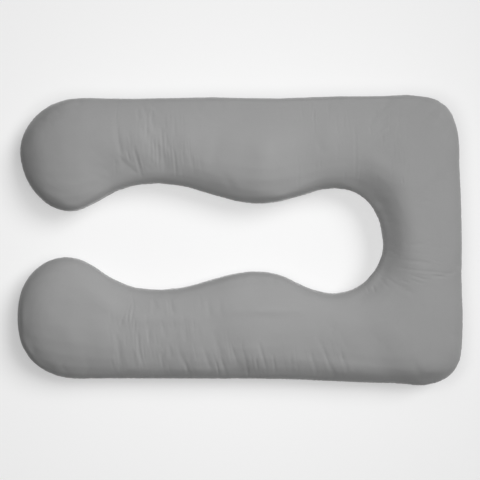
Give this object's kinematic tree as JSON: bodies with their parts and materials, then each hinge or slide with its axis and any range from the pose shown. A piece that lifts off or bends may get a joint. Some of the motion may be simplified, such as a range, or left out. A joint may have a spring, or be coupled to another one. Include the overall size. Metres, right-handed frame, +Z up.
{
  "type": "u-shaped body pillow",
  "caption": "U-shaped full-body pillow in smooth grey cloth: long arms with wavy inner edges and round tips, joined by a wide head bar, for a person to lie between.",
  "frame": {"origin": "on the ground under the middle of the pillow, which lies on its back", "axes": "+X from the open end to the head bar, +Y from the near arm to the far arm, +Z up, out of the pillow's upper face"},
  "size_m": [1.4509, 0.947, 0.1813],
  "materials": {
    "cover_cloth": "smooth, matt, closely knitted cloth in mid grey"
  },
  "bodies": {
    "root": {"body_pillow": "cover_cloth"}
  },
  "joints": []
}
